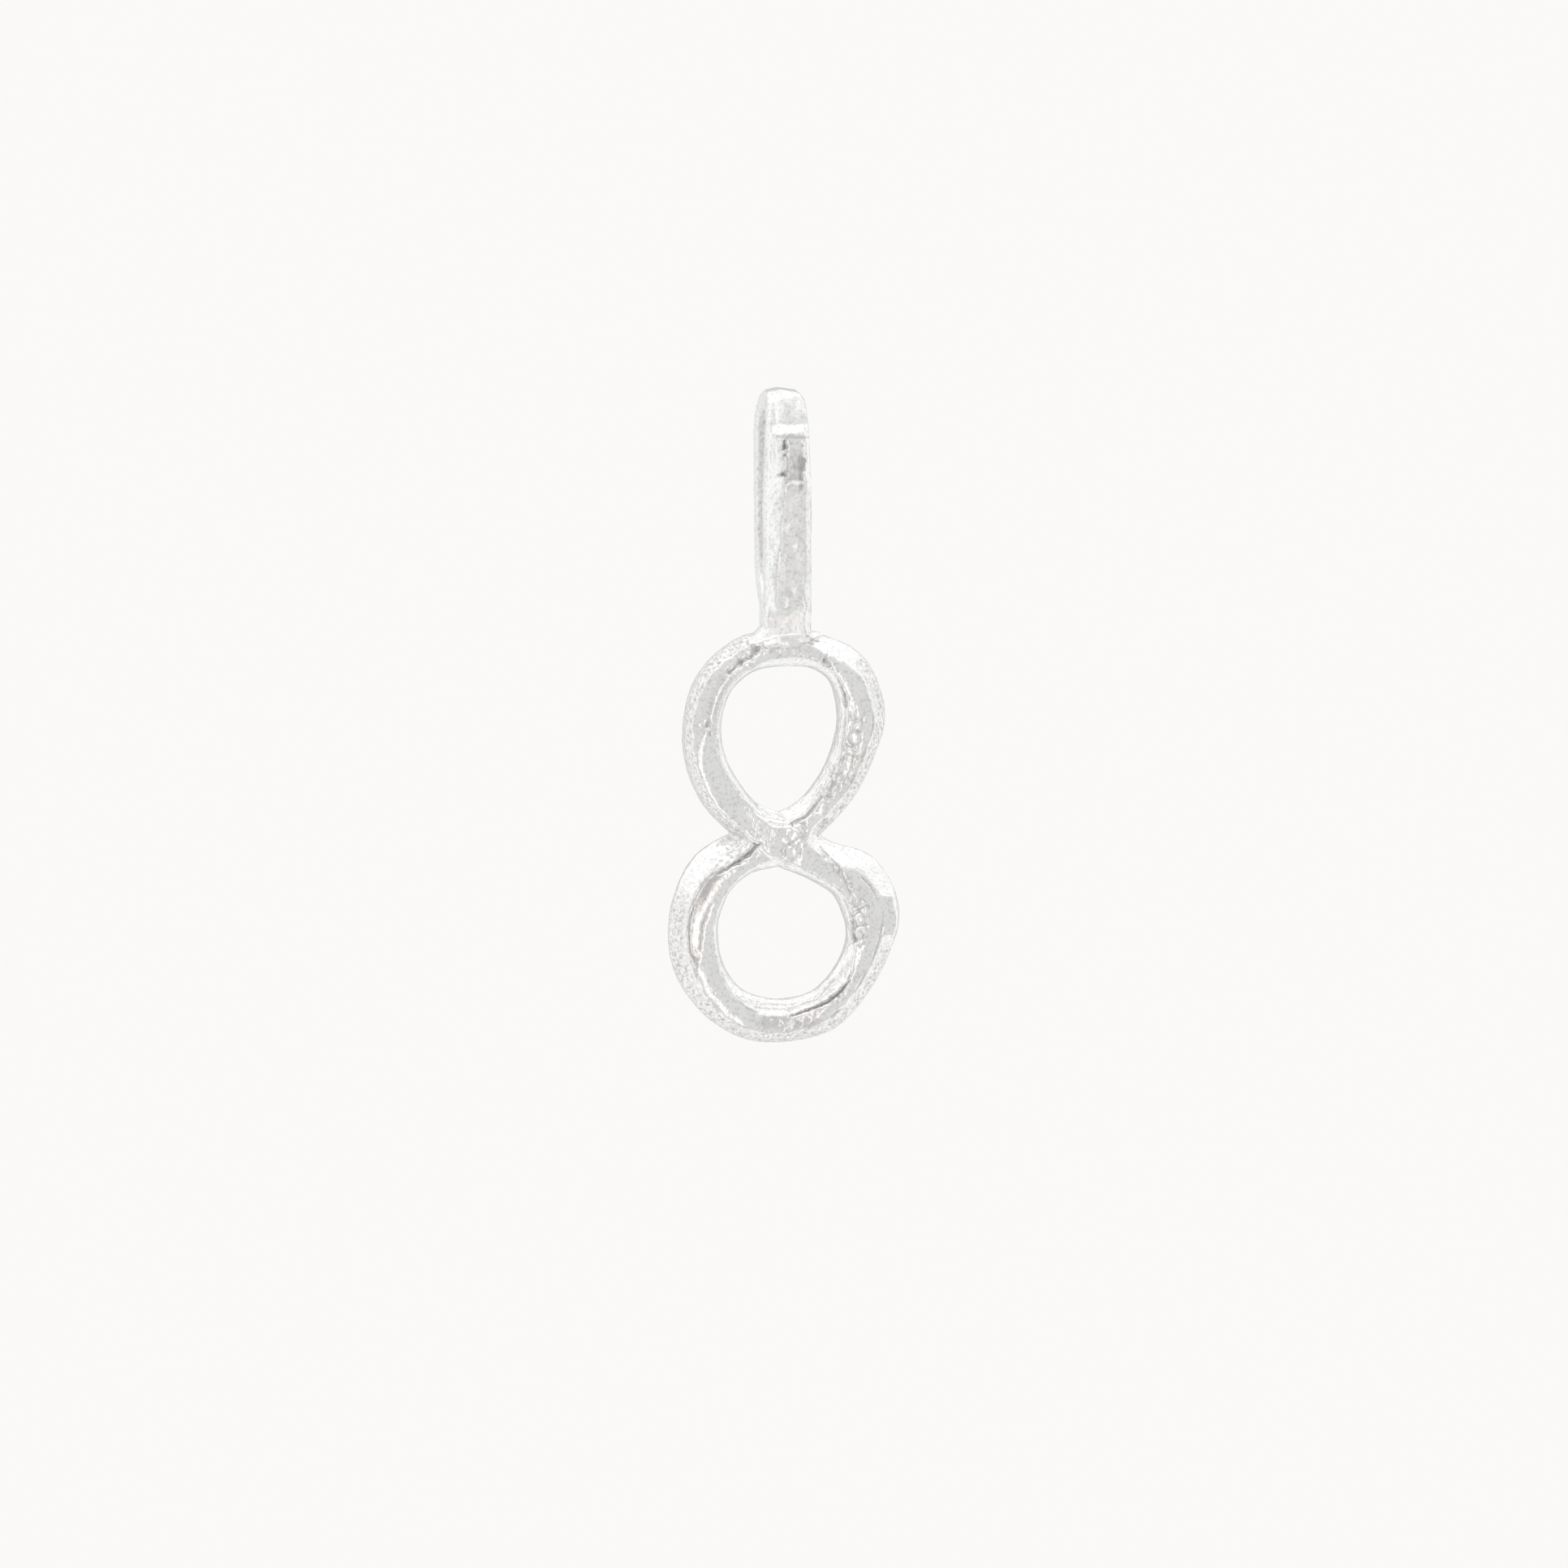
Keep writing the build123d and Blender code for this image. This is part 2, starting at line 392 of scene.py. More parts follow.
GROOVES = [
    ([(-0.90, -12.56, 0.05), (-1.22, -12.86, 0.10), (-1.72, -13.19, 0.08), (-2.22, -13.49, 0.03)],
     0.07, 0.85),
    ([(1.88, -16.86, 0.03), (1.64, -17.16, 0.11), (1.22, -17.50, 0.08), (0.10, -17.92, 0.03)],
     0.06, 1.00),
    ([(1.66, -16.69, 0.03), (0.91, -17.44, 0.05), (-0.03, -17.72, 0.05), (-1.04, -17.64, 0.03)],
     0.02, 0.25),
    ([(1.61, -7.78, 0.04), (1.77, -8.09, 0.09), (1.81, -8.40, 0.04)], 0.05, 0.55),
    ([(1.78, -8.54, 0.03), (1.74, -9.04, 0.06), (1.66, -9.64, 0.03)], 0.03, 0.35),
    ([(0.12, -11.98, 0.03), (0.50, -11.76, 0.09), (0.82, -11.42, 0.08), (1.05, -11.12, 0.03)],
     0.05, 0.70),
    ([(-0.75, -11.88, 0.03), (-0.30, -12.00, 0.05), (0.12, -11.98, 0.04)], 0.03, 0.45),
    ([(1.98, -14.84, 0.03), (2.00, -15.24, 0.08), (2.03, -15.69, 0.05)], 0.05, 0.70),
    ([(1.00, -12.72, 0.03), (1.62, -13.40, 0.05), (1.92, -14.20, 0.04)], 0.03, 0.45),
    ([(-1.00, -6.72, 0.06), (-1.47, -6.98, 0.10), (-1.88, -7.32, 0.05)], 0.04, 0.60),
    ([(0.62, -6.33, 0.04), (0.98, -6.36, 0.04)], 0.03, 0.60),
    ([(-2.42, -14.42, 0.03), (-2.69, -15.03, 0.06), (-2.77, -15.80, 0.03)], 0.02, 0.55),
    ([(-2.96, -14.42, 0.03), (-3.12, -15.10, 0.06), (-3.10, -15.80, 0.05), (-2.88, -16.27, 0.03)],
     0.03, 0.70),
]
PITS = [
    ([(-1.02, -6.60, 0.18)], 0.06, 0.75), ([(-1.50, -6.98, 0.14)], 0.05, 0.75),
    ([(-1.86, -7.28, 0.11)], 0.05, 0.65), ([(-2.54, -8.92, 0.14)], 0.06, 0.70),
    ([(-2.45, -9.16, 0.09)], 0.04, 0.55), ([(-0.72, -6.52, 0.10)], 0.04, 0.45),
    ([(1.10, -6.96, 0.14)], 0.06, 0.75), ([(1.27, -7.14, 0.09)], 0.04, 0.60),
    ([(2.05, -15.56, 0.11)], 0.06, 0.90), ([(0.32, -18.16, 0.08)], 0.04, 0.50),
    ([(0.59, -18.06, 0.07)], 0.03, 0.50), ([(-0.33, -18.14, 0.07)], 0.03, 0.40),
    ([(-0.05, -18.00, 0.06)], 0.03, 0.40), ([(-0.60, -18.05, 0.06)], 0.03, 0.35),
]
# Lines where a bevel meets the front: from one row of ROD to another, in the column of the inner
# bevel (3) or the outer one (5), then depth and how dark the painted shade in the line is.
SEAM_REACH = 0.05
SEAMS = [
    (23, 28, 3, 0.03, 0.50),
    (8, 12, 3, 0.03, 0.45),
    (15, 20, 3, 0.02, 0.30),
    (1, 6, 3, 0.02, 0.30),
    (24, 27, 5, 0.03, 0.35),
    (9, 13, 5, 0.03, 0.40),
    (16, 20, 5, 0.03, 0.55),
]
# Worn, matt stretches of the outer bevel: from one row of ROD to another, and darkness.
WORN_PLACE, WORN_REACH = 0.78, 0.36
WORN = [(1, 6, 0.12), (11, 19, 0.12), (23, 27, 0.12)]
# Where the front leans to the left: a line of (x, z, reach) points, and degrees.
LEANS = [
    ([(0.26, -12.09, 0.60), (0.06, -13.04, 0.60)], 8),
    ([(2.20, -14.49, 0.50), (2.22, -15.54, 0.50)], 5),
]
# File marks across the outer bevel left of the waist: a line, and their height.
HATCHED = ([(-1.30, -12.79, 0.38), (-2.10, -13.04, 0.40)], 0.032)
# Painted dark reflections: patches darkened in colour where dark surroundings are mirrored; a line, and
# how dark.
DARK_REFLECTIONS = [
    ([(-2.10, -13.36, 0.14), (-2.55, -13.90, 0.26), (-2.82, -14.55, 0.14)], 0.42),
    ([(-2.02, -7.54, 0.35), (-2.38, -8.54, 0.35)], 0.12),
    ([(-0.73, -18.10, 0.30), (0.67, -18.14, 0.30)], 0.24),
]
# Where the front is cut back to a slope: the inner edge at the foot of the upper hole.
CHAMFER = (
    [(-0.85, -11.50, 0.22), (-0.40, -11.72, 0.32), (0.05, -11.72, 0.32), (0.60, -11.40, 0.24)],
    0.24,
)
NUGGET_SCALE = 3.2     # nuggets in a millimetre


def rod_line(first, last, place, reach):
    """A line of (x, z, reach) points along the rod, between two rows of ROD. The place across it is
    a share of the half width, or the column of ROD that holds one."""
    steps = 8
    run = closed_spline(ROD, len(ROD) * steps)
    line = []
    for k in range(first * steps, last * steps + 1, 2):
        row, ahead, behind = run[k], run[(k + 1) % len(run)], run[k - 1]
        along = Vector((ahead[0] - behind[0], ahead[1] - behind[1])).normalized()
        share = row[place] if isinstance(place, int) else place
        out = share * row[2] * (1 if row[1] < WAIST.z else -1)
        line.append((row[0] - along.y * out, row[1] + along.x * out, reach))
    return line


def sculpt_figure(obj):
    """The unevenness of a casting: soft dents everywhere, then worn stretches, leans, nuggets,
    grooves, pits, seams, file marks, painted dark reflections and the chamfer. The seams between
    nuggets, the grooves, the pits and the seams are darkened as painted shade."""
    co, no = positions(obj.data), normals(obj.data)
    front = fade(0.0, 0.35, -no[:, 1])
    steep = fade(0.05, 0.3, 1 - np.abs(no[:, 1]))
    fine, speckle = noise_field(co, 9.0, 6), noise_field(co, 13.0, 8)
    lift = noise_field(co, 0.8, 1) * 0.024 + noise_field(co, 2.4, 2) * 0.008
    lift += noise_field(co, 6.5, 3) * (0.003 + 0.007 * steep)
    back = fade(0.2, 0.7, no[:, 1])
    lift += back * noise_field(co, 3.2, 9) * 0.012
    cut = np.zeros(len(co))
    tarnish = fade(0.1, 0.7, noise_field(co, 1.3, 4)) * (0.06 + 0.12 * back)
    matte = np.zeros(len(co))

    for first, last, dark in WORN:
        gap = near_line(co, rod_line(first, last, WORN_PLACE, WORN_REACH)) * (1 + 0.5 * fine)
        here = steep * (1 - fade(0.3, 1.6, gap))
        tarnish = np.maximum(tarnish, here * dark * (0.8 + 3.0 * speckle))
        matte = np.maximum(matte, here * (0.6 + speckle))
    for line, degrees in LEANS:
        here = front * (1 - fade(0.5, 1.0, near_line(co, line)))
        middle = sum(point[0] for point in line) / len(line)
        cut -= here * math.tan(math.radians(degrees)) * (co[:, 0] - middle)
    domes, seams = nugget_field(co, NUGGET_SCALE, 5)
    for line, height, dark in NUGGETS:
        here = front * (1 - fade(0.5, 1.15, near_line(co, line) * (1 + 0.4 * fine)))
        lift += here * height * (0.5 * domes - 0.4 * seams)
        # Painted shade in the seams between the nuggets.
        tarnish = np.maximum(tarnish, here * seams * dark)
    # Grooves and pits are sunk into the surface and darkened as painted shade in them.
    for line, depth, dark in GROOVES + PITS:
        here = front * (1 - fade(0.2, 1.1, near_line(co, line) * (1 + 0.9 * fine)))
        lift -= here * depth
        tarnish = np.maximum(tarnish, here * dark * (1 + 0.6 * fine))
    broken = fade(-0.25, 0.35, noise_field(co, 1.6, 7))
    # Seams are sunk into the surface and darkened as painted shade in them.
    for first, last, column, depth, dark in SEAMS:
        gap = near_line(co, rod_line(first, last, column, SEAM_REACH))
        here = front * broken * (1 - fade(0.2, 1.1, gap))
        lift -= here * depth
        tarnish = np.maximum(tarnish, here * dark * (1 + 0.6 * fine))
    line, height = HATCHED
    strokes = np.sin((co[:, 0] * 0.85 - co[:, 2] * 0.5) * 30 + fine * 2.5) * 0.5 + fine
    lift += front * (1 - fade(0.6, 1.1, near_line(co, line))) * height * strokes
    # Painted dark reflections: colour darkened where dark surroundings are mirrored.
    for line, dark in DARK_REFLECTIONS:
        here = front * (1 - fade(0.3, 1.1, near_line(co, line) * (1 + 0.5 * fine)))
        tarnish = np.maximum(tarnish, here * dark)
    line, depth = CHAMFER
    cut += depth * front * np.clip(1.15 - near_line(co, line), 0, 1)
    displace(obj, lift, cut, tarnish=tarnish, skin=0.22 + 0.45 * steep, matte=matte)


# ---------------------------------------------------------------- the bail

BACK_LEAN = 0.18       # how far the back leg leans in before it bends forward
JOG_TOP_Z = -3.85      # where it starts to bend forward
STEM_TOP_Z = -5.60     # where it lies against the front leg
FOLD_HALF = 0.65       # half widths of the strap: where the fold starts
CREST_HALF = 0.56      # over the top
BACK_HALF = 0.65       # down the back
STEM_HALF = 0.70       # behind the front leg
BEVEL = 0.20           # width of the bevel along the right edge
EDGE = 0.09            # width of the chamfer along its left edge
LEFT_TILT = 30         # degrees that the facet left of the ridge turns away
RIGHT_TILT = 1
FOOT_TILT = 10         # degrees that the foot turns to the left
FOOT_PIVOT = 0.4       # the line it turns about, right of the middle
FOOT_SUNK = 0.02       # how far it lies back there
FOOT_FADE = (5.15, 5.7)        # how far down the foot starts and is full
SHOULDER = 0.10        # how far the fold's front shoulder stands proud of a true round
SHOULDER_TURN, SHOULDER_SPREAD = 56, 16      # degrees round the fold from the front
LEDGE = 0.14           # how far the front leg stands proud of the fold above it
RIDGE_SOFT = 0.08      # how round the ridge between the facets is
TOP_SAG = 0.13         # how far the top of the fold slopes down to the right
BEVEL_DROP = 0.20      # depth of the bevel along the right edge
INNER_EDGE = 0.07      # rounding of the strap's inner edges
DISH_DEPTH, DISH_DEEPENS = 0.05, 0.02        # the recess under the fold, and how much deeper lower down


def strap_path():
    """The strap's middle line seen from the side, from its front foot round to its back foot."""
    mid_r = OUTER_R - STRAP_T / 2
    points = []
    for k in range(141):
        points.append((-mid_r, FOOT_Z * (1 - k / 140), "front"))
    for k in range(1, 64):
        angle = math.pi * (1 - k / 64)
        points.append((mid_r * math.cos(angle), mid_r * math.sin(angle), "fold"))
    lean_y = mid_r - BACK_LEAN
    for k in range(0, 81):
        f = k / 80
        points.append((mid_r - BACK_LEAN * swing(f), JOG_TOP_Z * f, "back"))
    stem_y = -OUTER_R + STRAP_T * 1.5
    for k in range(1, 61):
        f = k / 60
        y = lean_y + (stem_y - lean_y) * swing(f)
        points.append((y, JOG_TOP_Z + (STEM_TOP_Z - JOG_TOP_Z) * f, "back"))
    for k in range(1, 21):
        points.append((stem_y, STEM_TOP_Z + (FOOT_Z - STEM_TOP_Z) * k / 20, "back"))
    return points


def strap_half_width(part, z):
    """Half the strap's width: full down the front, narrower over the fold and down the back."""
    if part == "front":
        return FOLD_HALF + (STRAP_W / 2 - FOLD_HALF) * ease(0.0, 1.8, -z)
    if part == "fold":
        return FOLD_HALF + (CREST_HALF - FOLD_HALF) * ease(0.0, OUTER_R, z)
    return BACK_HALF + (STEM_HALF - BACK_HALF) * ease(-JOG_TOP_Z, -STEM_TOP_Z, -z)


def ridge_at(z):
    """Where the ridge between the outer face's two facets runs, across the strap."""
    return -0.10 - 0.26 * ease(1.4, 5.4, -z)


def face_height(part, x, half, y, z):
    """Height of the strap's outer face over its flat blank, at a place across and along it."""
    t = STRAP_T / 2
    if part == "back":
        return t - 0.05 * (x / half) ** 2
    ridge = ridge_at(z)
    left, right = math.tan(math.radians(LEFT_TILT)), math.tan(math.radians(RIGHT_TILT))
    left *= 1 - 0.35 * ease(0.3, 1.1, z)
    tilt = left if x < ridge else right
    lift = -tilt * (math.hypot(x - ridge, RIDGE_SOFT) - RIDGE_SOFT)
    if part == "front":
        dish = ease(0.12, 0.22, -z) * (1 - ease(1.40, 1.60, -z))
        dish *= ease(-0.16, -0.06, x) * (1 - ease(0.40, 0.54, x))
        lift -= (DISH_DEPTH - DISH_DEEPENS * z) * dish
        foot = ease(*FOOT_FADE, -z + 0.25 * noise.noise(Vector((x * 3, 0, z * 2))))
        lift += foot * (math.tan(math.radians(FOOT_TILT)) * (x - FOOT_PIVOT) - FOOT_SUNK - lift)
    ledge = min(max((z + 0.06) / 0.26, 0), 1) * (1 - ease(0.2, 1.2, z))
    lift -= LEDGE * ledge * ease(-0.65, -0.35, x)
    turn = math.degrees(math.atan2(z, -y))
    lift += SHOULDER * math.exp(-((turn - SHOULDER_TURN) / SHOULDER_SPREAD) ** 2)
    over = ease(0.1, OUTER_R - t, y)
    return t + lift * (1 - over) - 0.05 * over * (x / half) ** 2


def strap_ring(centre, out, half, part, y, z):
    """One section of the strap: a ridged outer face with a bevel on the right, and a flat inner one."""
    t = STRAP_T / 2
    bevel = BEVEL * half / (STRAP_W / 2) * (1 + 0.5 * noise.noise(Vector((0, y, z)) * 2.2))
    profile = []
    for k in range(33):
        x = -half + EDGE + (2 * half - EDGE - bevel) * k / 32
        profile.append((x, face_height(part, x, half, y, z)))
    edge_x, edge_h = profile[-1]
    for k in range(1, 8):
        f = k / 7
        profile.append((edge_x + (half - edge_x) * f, edge_h - BEVEL_DROP * f ** 1.2))
    top_right = profile[-1][1]
    for k in range(1, 13):
        profile.append((half, top_right + (-t + INNER_EDGE - top_right) * k / 12))
    corner = 0.02
    profile.append((half - corner, -t + corner))
    for k in range(21):
        profile.append((half - INNER_EDGE - (2 * half - 2 * INNER_EDGE) * k / 20, -t))
    profile.append((-half + corner, -t + corner))
    top_left = profile[0][1]
    for k in range(13):
        profile.append((-half, -t + INNER_EDGE + (top_left - EDGE + t - INNER_EDGE) * k / 12))
    profile.append((-half + EDGE * 0.4, top_left - EDGE * 0.5))
    return [centre + Vector((x, 0, 0)) + out * h for x, h in profile]


def make_bail():
    """The strap swept along its path, with its top sloped a little to the right."""
    path = strap_path()
    rings = []
    for i, (y, z, part) in enumerate(path):
        before, after = path[max(i - 1, 0)], path[min(i + 1, len(path) - 1)]
        along = Vector((0, after[0] - before[0], after[1] - before[1])).normalized()
        out = Vector((1, 0, 0)).cross(along)
        rings.append(strap_ring(Vector((0, y, z)), out, strap_half_width(part, z), part, y, z))
    obj = new_object("bail_strap", skin_mesh("bail_strap", rings, False))
    co = positions(obj.data)
    above = np.clip(co[:, 2] / OUTER_R, 0, 1) ** 2
    co[:, 2] -= above * TOP_SAG * (co[:, 0] / CREST_HALF * 0.5 + 0.5)
    obj.data.vertices.foreach_set("co", co.ravel())
    obj.data.update()
    sculpt_bail(obj)
    return obj


# Pits in the front of the strap: a line of (x, z, reach) points, then depth and how dark the painted
# shade in them is.
STRAP_PITS = [
    ([(-0.16, -0.26, 0.08), (-0.14, -0.48, 0.12)], 0.06, 1.0), ([(-0.12, -0.66, 0.08)], 0.04, 0.7),
    ([(-0.18, -1.24, 0.13)], 0.06, 1.0), ([(0.44, -0.78, 0.05), (0.43, -1.15, 0.09)], 0.05, 0.7),
    ([(0.42, -0.38, 0.07)], 0.03, 0.4), ([(-0.08, -1.52, 0.08)], 0.03, 0.5),
]


def sculpt_bail(obj):
    """Forging and wear: soft waves along the strap, grain, a line under the fold with painted shade in
    it, a painted dark reflection in the recess, and pits with painted shade in them.
    """
    co, no = positions(obj.data), normals(obj.data)
    x, y, z = co.T
    front = fade(0.2, 0.6, -no[:, 1]) * fade(0.1, 0.4, -y)
    grain = noise_field(co, 8.0, 13)
    blotches = fade(-0.3, 0.5, noise_field(co, 3.5, 16))
    lift = noise_field(co, 1.0, 11) * 0.018 + noise_field(co, 3.0, 12) * 0.008 + grain * 0.003
    tarnish = fade(0.0, 0.7, noise_field(co, 2.2, 14)) * 0.05
    skin = 0.25 + 0.15 * fade(0.05, 0.25, 1 - np.abs(no[:, 1]))
    side = np.clip(fade(0.5, 0.9, -no[:, 0]) + fade(0.0, 0.2, y), 0, 1)
    lift += side * noise_field(co, 6.0, 15) * 0.008
    tarnish = np.maximum(tarnish, side * fade(0.0, 0.5, grain) * 0.15)

    ragged = noise_field(co, 4.0, 18)
    # The recess under the fold is darkened as a painted dark reflection, darkest low down and to the
    # right.
    painted_recess_reflection = fade(0.12, 0.22, -z) * (1 - fade(1.50, 1.85, -z + 0.3 * ragged))
    painted_recess_reflection *= fade(-0.18, -0.10, x + 0.08 * ragged)
    painted_recess_reflection *= (1 - fade(0.40, 0.50, x + 0.06 * ragged)) * front
    reflection_darkness = 0.02 + 0.24 * fade(0.3, 0.9, -z) + 0.30 * fade(0.24, 0.34, x) * fade(0.6, 0.75, -z)
    tarnish = np.maximum(tarnish, painted_recess_reflection * (reflection_darkness + 0.25 * grain + 0.15 * ragged))

    crest = fade(0.22, 0.35, z) * (1 - fade(1.0, 1.2, z)) * fade(-0.45, -0.1, x) * front
    foot = front * fade(*FOOT_FADE, -z + 0.5 * ragged)
    beyond = x - np.array([ridge_at(height) for height in z])
    facet = front * fade(-0.10, 0.02, beyond) * fade(1.5, 1.9, -z) * (1 - foot)
    lift += (crest * 0.016 + foot * 0.005) * noise_field(co, 4.0, 17)
    lift += facet * 0.022 * noise_field(co, 3.4, 19)
    tarnish = np.maximum(tarnish, (crest * 0.16 + facet * 0.06) * blotches)
    tarnish = np.maximum(tarnish, facet * 0.20 * fade(-0.1, 0.6, grain))
    matte = crest * (0.3 + 0.4 * blotches) + foot * (0.2 + 0.15 * blotches)
    matte += facet * (0.2 + 0.3 * blotches)
    matte = np.maximum(matte, side * 0.8)
    edge = fade(-0.05, 0.0, x - STRAP_W / 2) * fade(1.1, 1.2, -y)
    edge *= fade(-0.3, 0.2, ragged) * fade(1.5, 2.0, -z)
    tarnish = np.maximum(tarnish, edge * 0.6)

    # The line under the fold is sunk and darkened as painted shade in its crease.
    seam = front * fade(-0.45, -0.25, x) * np.exp(-((z + 0.12 + 0.04 * x) / 0.035) ** 2)
    lift -= seam * 0.03
    tarnish = np.maximum(tarnish, seam * 0.4)
    # Pits are sunk and darkened as painted shade in them.
    for line, depth, dark in STRAP_PITS:
        here = front * (1 - fade(0.3, 1.0, near_line(co, line) * (1 + 0.8 * grain)))
        lift -= here * depth
        tarnish = np.maximum(tarnish, here * dark)
    displace(obj, lift, np.zeros(len(co)), tarnish=tarnish, skin=skin, matte=matte)


# ---------------------------------------------------------------- the solder

RING_DIP = 0.22        # how far the ring's edge falls away along the fillet
FILLET_CURVE = 2.6     # how hollow the fillet is
FILLET_DEPTH = (0.62, 0.34)    # half its depth at the stem, and how much it thins outwards
SOLDER_VOXEL = 0.03    # grid that the skin is made on


def solder_fillet():
    """The concave run of solder from the left side of the stem out along the ring."""
    side = -STRAP_W / 2
    top_z, edge_z = seam_high.z, figure_high.z - 0.16
    reach = side - seam_low.x
    rows = []
    for i in range(31):
        f = i / 30
        x = side + 0.12 - (reach + 0.12) * f
        ring_edge = edge_z - RING_DIP * f ** 2
        top = ring_edge + (top_z - edge_z) * (1 - f) ** FILLET_CURVE
        foot = ring_edge - 0.40
        depth = FILLET_DEPTH[0] - FILLET_DEPTH[1] * f ** 0.7
        middle, half = (top + foot) / 2, (top - foot) / 2
        row = []
        for j in range(28):
            turn = 2 * math.pi * j / 28
            row.append(Vector((x, MID_Y - depth * math.cos(turn), middle + half * math.sin(turn))))
        rows.append(row)
    return rows


# Centre, reach, how square it is from front to back, and how far its front slopes backwards.
SOLDER_LUMPS = [
    ((0.80, -1.33, -6.17), (0.22, 0.21, 0.12), 0.7, 0.90),
    ((0.12, -1.20, -6.22), (0.50, 0.22, 0.12), 0.4, 0.0),
    ((-0.42, -1.38, -6.40), (0.24, 0.15, 0.15), 1.0, 0.45),
    ((-0.16, -1.38, -6.46), (0.20, 0.14, 0.12), 1.0, 0.45),
    ((-0.62, -1.34, -6.46), (0.18, 0.16, 0.12), 1.0, 0.40),
    ((-0.80, -1.22, -6.36), (0.16, 0.14, 0.10), 1.0, 0.0),
]


def make_solder():
    """The fillet and the lumps in one uneven skin."""
    obj = new_object("solder_run", skin_mesh("solder_run", solder_fillet(), False))
    join(obj, [new_object("lump", skin_mesh("lump", blob(*lump), False)) for lump in SOLDER_LUMPS])
    remesh(obj, SOLDER_VOXEL, 3)
    co = positions(obj.data)
    lift = noise_field(co, 4.0, 21) * 0.018 + noise_field(co, 9.0, 22) * 0.008
    tarnish = fade(0.1, 0.7, noise_field(co, 3.0, 23)) * 0.10
    flat = np.zeros(len(co))
    displace(obj, lift, flat, tarnish=tarnish, skin=flat + 0.5, matte=flat + 0.3)
    return obj


# ---------------------------------------------------------------- materials

# Colour of real tarnish, and of painted shade and painted dark reflections.
TARNISH_AND_PAINTED_SHADE = (0.26, 0.245, 0.24)
MATTE_ROUGHNESS = 0.85
DULLER = 0.80          # colour of the darker grains, as a share of the silver's own
GRAIN_DEPTH = 0.000030         # depth of the grain, in metres
BROAD_SCALE, FINE_SCALE = 1500.0, 11000.0    # grains in a metre


def silver(name, tint, roughness):
    """Cast silver: fine grain in its colour, gloss and surface, and darker where it is tarnished and
    where shade and dark reflections are painted on.
    """
    mat = bpy.data.materials.new(name)
    mat.use_nodes = True
    nodes, links = mat.node_tree.nodes, mat.node_tree.links
    shader = nodes["Principled BSDF"]
    shader.inputs["Metallic"].default_value = 1.0
    coords = nodes.new("ShaderNodeTexCoord")

    def grain(scale, detail):
        tex = nodes.new("ShaderNodeTexNoise")
        tex.inputs["Scale"].default_value = scale
        tex.inputs["Detail"].default_value = detail
        links.new(coords.outputs["Object"], tex.inputs["Vector"])
        return tex.outputs["Fac"]

    def spread(value, low, high, in_low=0.3, in_high=0.7):
        ramp = nodes.new("ShaderNodeMapRange")
        ramp.inputs["From Min"].default_value = in_low
        ramp.inputs["From Max"].default_value = in_high
        ramp.inputs["To Min"].default_value = low
        ramp.inputs["To Max"].default_value = high
        links.new(value, ramp.inputs["Value"])
        return ramp.outputs["Result"]

    def blend(factor, first, second):
        mix = nodes.new("ShaderNodeMix")
        mix.data_type = "RGBA"
        links.new(factor, mix.inputs["Factor"])
        for socket, value in ((mix.inputs[6], first), (mix.inputs[7], second)):
            if isinstance(value, tuple):
                socket.default_value = (*value, 1)
            else:
                links.new(value, socket)
        return mix.outputs[2]

    def layer(attribute):
        node = nodes.new("ShaderNodeAttribute")
        node.attribute_name = attribute
        return node.outputs["Fac"]

    broad, fine = grain(BROAD_SCALE, 4.0), grain(FINE_SCALE, 1.5)
    duller = tuple(c * DULLER for c in tint)
    clean = blend(spread(fine, 0, 1, 0.28, 0.5), duller, tint)
    # Base colour darkened by the layer that holds tarnish, painted shade and painted dark reflections.
    links.new(blend(layer("tarnish"), clean, TARNISH_AND_PAINTED_SHADE), shader.inputs["Base Color"])
    polished = spread(broad, roughness * 0.7, roughness * 1.4)
    rough = nodes.new("ShaderNodeMix")
    links.new(layer("matte"), rough.inputs["Factor"])
    links.new(polished, rough.inputs["A"])
    rough.inputs["B"].default_value = MATTE_ROUGHNESS
    links.new(rough.outputs["Result"], shader.inputs["Roughness"])
    bump = nodes.new("ShaderNodeBump")
    bump.inputs["Distance"].default_value = GRAIN_DEPTH
    links.new(layer("skin"), bump.inputs["Strength"])
    links.new(fine, bump.inputs["Height"])
    links.new(bump.outputs["Normal"], shader.inputs["Normal"])
    return mat


# ---------------------------------------------------------------- stage, light and camera

PAPER = (0.956, 0.947, 0.939)
AZIMUTH, ELEVATION = math.radians(-10), math.radians(5)
TO_CAMERA = Vector((
    math.sin(AZIMUTH) * math.cos(ELEVATION),
    -math.cos(AZIMUTH) * math.cos(ELEVATION),
    math.sin(ELEVATION),
))
# What a face square to the front mirrors towards the camera.
MIRRORED = Vector((-TO_CAMERA.x, TO_CAMERA.y, -TO_CAMERA.z))


def around_mirrored(off_axis, clock):
    """A direction so many degrees off MIRRORED, clock degrees round from the right towards the top."""
    off, turn = math.radians(off_axis), math.radians(clock)
    across = Vector((0, 0, 1)).cross(MIRRORED).normalized() * -1
    across = across if across.x > 0 else -across
    up = across.cross(MIRRORED)
    up = up if up.z > 0 else -up
    return MIRRORED * math.cos(off) + (across * math.cos(turn) + up * math.sin(turn)) * math.sin(off)


# Soft round patches in the surroundings: direction, full and faded radius in degrees, gain.
BASE_LIGHT = 1.05
ROOM = [
    (MIRRORED, 42, 66, -0.31),
    ((0, 0, 1), 40, 80, 0.06),
    ((0, -0.6, 0.8), 12, 34, 0.18),
    ((0, 1, 0), 22, 52, -0.38),
    ((0, 0, -1), 20, 50, -0.05),
    ((1, 0, 0), 12, 36, -0.06),
    ((-1, 0, 0), 12, 36, -0.06),
]
# A tall warm lamp to the left of MIRRORED, as three overlapping patches.
LAMP = [
    ((14, 180), 3, 10, 0.42),
    ((17, 140), 3, 10, 0.42),
    ((17, 220), 3, 10, 0.42),
]
LAMP_COLOUR = (1.0, 0.88, 0.80, 1)


